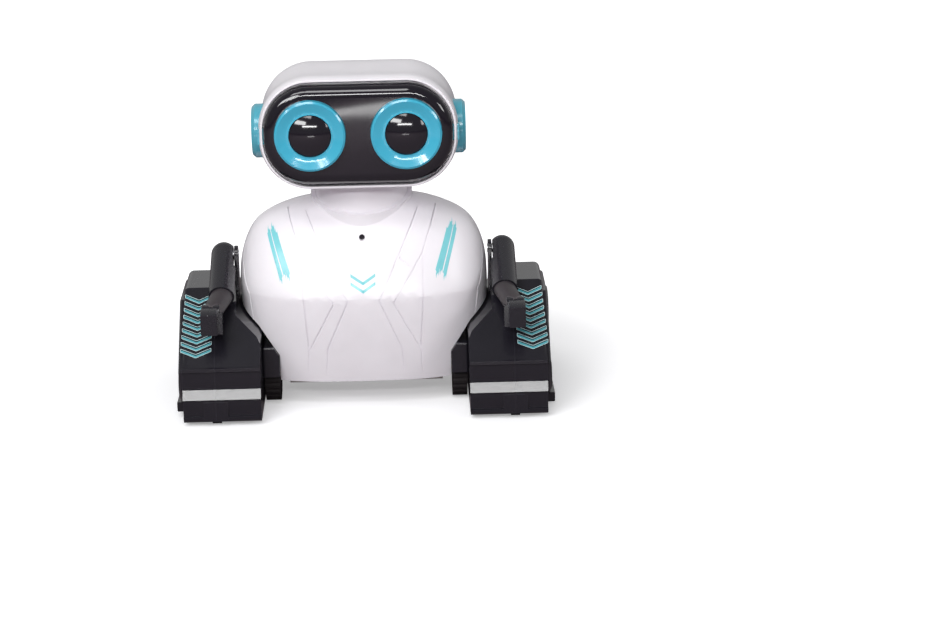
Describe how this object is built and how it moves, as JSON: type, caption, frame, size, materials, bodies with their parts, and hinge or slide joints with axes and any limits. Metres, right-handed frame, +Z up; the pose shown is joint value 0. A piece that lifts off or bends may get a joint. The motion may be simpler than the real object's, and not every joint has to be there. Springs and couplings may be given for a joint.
{
  "type": "toy robot",
  "caption": "Small toy robot with a white bell torso, a headset-shaped head with a black visor and blue-ringed eyes, black arms and tracked-look side covers.",
  "frame": {"origin": "middle of the footprint, on the floor", "axes": "+X is the robot's own left, it faces -Y, +Z up"},
  "size_m": [0.1266, 0.0704, 0.1136],
  "materials": {
    "white_shell": "gloss",
    "blue_trim": "gloss",
    "black_shell": "gloss",
    "black_glass": "polished",
    "tread": "matte",
    "steel": "brushed",
    "board": "satin",
    "chips": "matte",
    "cell_wrap": "gloss",
    "brass_part": "machined",
    "gear_white": "satin",
    "arm_grey": "satin"
  },
  "bodies": {
    "torso": {"chest_shell": "white_shell", "back_shell": "white_shell", "base_plate": "white_shell", "circuit_board": "board", "chip_set": "chips", "speaker": "chips", "chest_sensor": "black_glass", "battery_cells": "cell_wrap", "battery_contacts": "steel", "body_screws": "steel", "track_screws": "steel", "gear_pins": "steel", "shoulder_pins": "steel", "roller_pins": "steel", "wheel_guards": "black_shell", "gearbox_left": "black_shell", "motor_left": "steel", "track_outer_left": "black_shell", "track_inner_left": "black_shell", "gearbox_right": "black_shell", "motor_right": "steel", "track_outer_right": "black_shell", "track_inner_right": "black_shell"},
    "battery_cover": {"battery_door": "white_shell", "battery_door_screw": "steel"},
    "switch": {"power_switch": "black_shell"},
    "head": {"neck_tube": "white_shell", "neck_clip": "white_shell", "head_front_shell": "white_shell", "head_rear_shell": "white_shell", "visor": "black_glass", "eye_ring_left": "blue_trim", "eye_ring_right": "blue_trim", "eye_lens_left": "black_glass", "eye_lens_right": "black_glass", "ear_pod_left": "blue_trim", "ear_pod_right": "blue_trim", "eye_board": "board"},
    "drive_wheel_left": {"axle_left": "gear_white", "wheel_left": "black_shell", "tyre_left": "tread"},
    "double_gear_left": {"reduction_gear_left": "gear_white"},
    "motor_pinion_left": {"pinion_left": "brass_part"},
    "roller_front_left": {"front_roller_left": "tread"},
    "roller_rear_left": {"rear_roller_left": "tread"},
    "arm_left": {"upper_arm_left": "black_shell"},
    "forearm_left": {"forearm_left": "arm_grey", "hand_left": "black_shell"},
    "drive_wheel_right": {"axle_right": "gear_white", "wheel_right": "black_shell", "tyre_right": "tread"},
    "double_gear_right": {"reduction_gear_right": "gear_white"},
    "motor_pinion_right": {"pinion_right": "brass_part"},
    "roller_front_right": {"front_roller_right": "tread"},
    "roller_rear_right": {"rear_roller_right": "tread"},
    "arm_right": {"upper_arm_right": "black_shell"},
    "forearm_right": {"forearm_right": "arm_grey", "hand_right": "black_shell"}
  },
  "joints": [
    {"name": "head_turn", "type": "hinge", "parent": "torso", "child": "head", "pos_m": [0, 0.00502, 0.07], "axis": [0, 0, 1], "range_deg": [-40, 40]},
    {"name": "power_switch_slide", "type": "slide", "parent": "torso", "child": "switch", "axis": [1, 0, 0], "range_m": [0, 0.0022]},
    {"name": "battery_door_lift", "type": "slide", "parent": "torso", "child": "battery_cover", "axis": [0, 0, -1], "range_m": [0, 0.0075]},
    {"name": "wheel_left_turn", "type": "hinge", "parent": "torso", "child": "drive_wheel_left", "pos_m": [0.031, -0.00548, 0.0095], "axis": [1, 0, 0], "continuous": true},
    {"name": "double_gear_left_turn", "type": "hinge", "parent": "torso", "child": "double_gear_left", "pos_m": [0.02, -0.00548, 0.0141], "axis": [1, 0, 0], "continuous": true},
    {"name": "pinion_left_turn", "type": "hinge", "parent": "torso", "child": "motor_pinion_left", "pos_m": [0.017, -0.00548, 0.0221], "axis": [1, 0, 0], "continuous": true},
    {"name": "front_roller_left_turn", "type": "hinge", "parent": "torso", "child": "roller_front_left", "pos_m": [0.0496, -0.03048, 0.0026], "axis": [1, 0, 0], "continuous": true},
    {"name": "rear_roller_left_turn", "type": "hinge", "parent": "torso", "child": "roller_rear_left", "pos_m": [0.0496, 0.03052, 0.0026], "axis": [1, 0, 0], "continuous": true},
    {"name": "shoulder_left", "type": "hinge", "parent": "torso", "child": "arm_left", "pos_m": [0.0472, 0.00102, 0.0496], "axis": [-1, 0, 0], "range_deg": [0, 110]},
    {"name": "forearm_left_twist", "type": "hinge", "parent": "arm_left", "child": "forearm_left", "pos_m": [0.0472, 0.00102, 0.0496], "axis": [0, -0.9135, -0.4067], "range_deg": [-25, 15]},
    {"name": "wheel_right_turn", "type": "hinge", "parent": "torso", "child": "drive_wheel_right", "pos_m": [-0.031, -0.00548, 0.0095], "axis": [1, 0, 0], "continuous": true},
    {"name": "double_gear_right_turn", "type": "hinge", "parent": "torso", "child": "double_gear_right", "pos_m": [-0.02, -0.00548, 0.0141], "axis": [1, 0, 0], "continuous": true},
    {"name": "pinion_right_turn", "type": "hinge", "parent": "torso", "child": "motor_pinion_right", "pos_m": [-0.017, -0.00548, 0.0221], "axis": [1, 0, 0], "continuous": true},
    {"name": "front_roller_right_turn", "type": "hinge", "parent": "torso", "child": "roller_front_right", "pos_m": [-0.0496, -0.03048, 0.0026], "axis": [1, 0, 0], "continuous": true},
    {"name": "rear_roller_right_turn", "type": "hinge", "parent": "torso", "child": "roller_rear_right", "pos_m": [-0.0496, 0.03052, 0.0026], "axis": [1, 0, 0], "continuous": true},
    {"name": "shoulder_right", "type": "hinge", "parent": "torso", "child": "arm_right", "pos_m": [-0.0472, 0.00102, 0.0496], "axis": [-1, 0, 0], "range_deg": [0, 110]},
    {"name": "forearm_right_twist", "type": "hinge", "parent": "arm_right", "child": "forearm_right", "pos_m": [-0.0472, 0.00102, 0.0496], "axis": [0, -0.9135, -0.4067], "range_deg": [-15, 25]}
  ],
  "couplings": [
    {"joint": "double_gear_left_turn", "follows": "wheel_left_turn", "ratio": -1.2},
    {"joint": "pinion_left_turn", "follows": "wheel_left_turn", "ratio": 4},
    {"joint": "double_gear_right_turn", "follows": "wheel_right_turn", "ratio": -1.2},
    {"joint": "pinion_right_turn", "follows": "wheel_right_turn", "ratio": 4}
  ]
}
